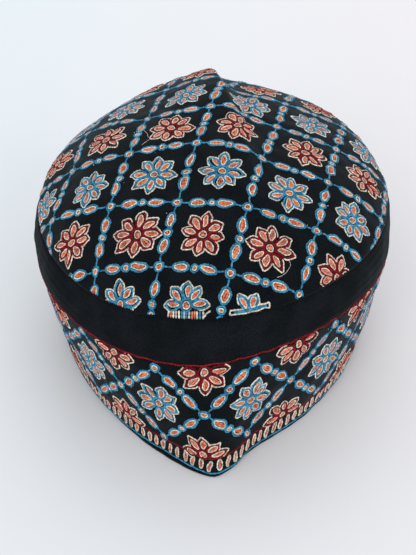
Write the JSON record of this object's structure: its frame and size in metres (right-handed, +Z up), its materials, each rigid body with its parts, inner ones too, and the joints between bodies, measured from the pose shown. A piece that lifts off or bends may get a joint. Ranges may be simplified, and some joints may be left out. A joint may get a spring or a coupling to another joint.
{
  "type": "kashmiri cap",
  "caption": "Soft black cloth cap with a puffed oval crown, a plain band and an embroidered band that ends in a point at the front and back.",
  "frame": {"origin": "bottom centre of the cap's bounding box, on the surface that the rim rests on", "axes": "+Z up, -Y to the wearer's front, +X to the right seen from the front"},
  "size_m": [0.1654, 0.225, 0.1069],
  "materials": {
    "crown_cloth": "matt black cotton",
    "band_cloth": "matt black twill",
    "binding": "rolled black cotton strip",
    "thread_cream": "cream cotton embroidery thread",
    "thread_blue": "blue cotton embroidery thread",
    "thread_crimson": "crimson cotton embroidery thread",
    "thread_orange": "orange cotton embroidery thread"
  },
  "bodies": {
    "root": {"crown": "crown_cloth", "plain_band": "band_cloth", "embroidered_band": "crown_cloth", "rim_binding": "binding"}
  },
  "joints": []
}
